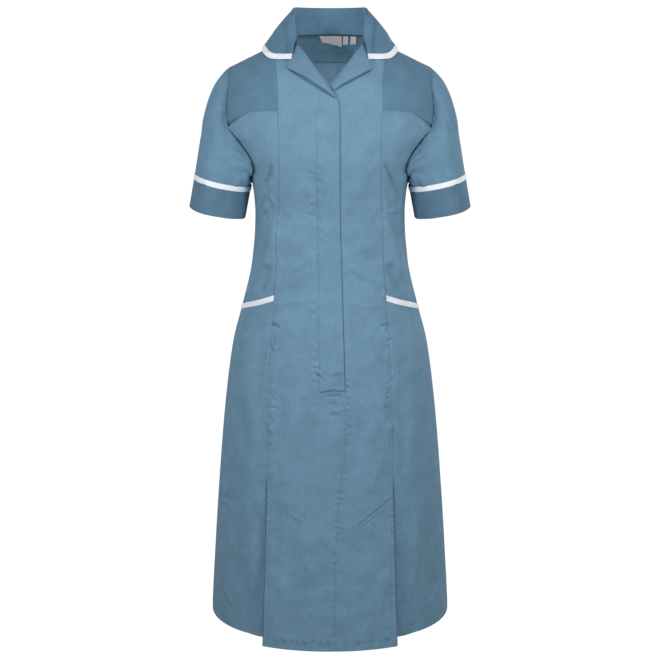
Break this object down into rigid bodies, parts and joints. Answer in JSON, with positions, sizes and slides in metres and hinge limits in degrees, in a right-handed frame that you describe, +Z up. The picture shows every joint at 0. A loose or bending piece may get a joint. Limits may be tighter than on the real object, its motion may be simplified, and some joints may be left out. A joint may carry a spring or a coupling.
{
  "type": "nurse uniform dress",
  "caption": "Short-sleeved nurse's dress with a revere collar, concealed front fastening, hip pockets, kick pleats and contrast binding, filled out as it is worn.",
  "frame": {"origin": "on the centre line, midway between the neck ends of the two shoulder seams, where the wearer's shoulders carry the dress", "axes": "+Z up along the wearer's body, the front faces -Y, and the wearer's right is at -X"},
  "size_m": [0.5136, 0.358, 1.1428],
  "materials": {
    "cloth": "plain-woven polyester and cotton, steel blue, matt",
    "binding": "white woven binding, matt",
    "label": "grey satin label, blank"
  },
  "bodies": {
    "root": {"front_right": "cloth", "front_left": "cloth", "lapel_right": "cloth", "lapel_left": "cloth", "front_yoke_right": "cloth", "front_yoke_left": "cloth", "side_front_upper_right": "cloth", "side_front_upper_left": "cloth", "side_front_lower_right": "cloth", "side_front_lower_left": "cloth", "kick_pleat_right": "cloth", "kick_pleat_left": "cloth", "back_yoke": "cloth", "back_right": "cloth", "back_left": "cloth", "back_pleat": "cloth", "side_back_right": "cloth", "side_back_left": "cloth", "sleeve_right": "cloth", "sleeve_left": "cloth", "cuff_right": "cloth", "cuff_left": "cloth", "collar": "cloth", "collar_binding": "binding", "cuff_binding_right": "binding", "cuff_binding_left": "binding", "pocket_binding_right": "binding", "pocket_binding_left": "binding", "neck_label": "label", "size_tab_1": "label", "size_tab_2": "label"}
  },
  "joints": []
}
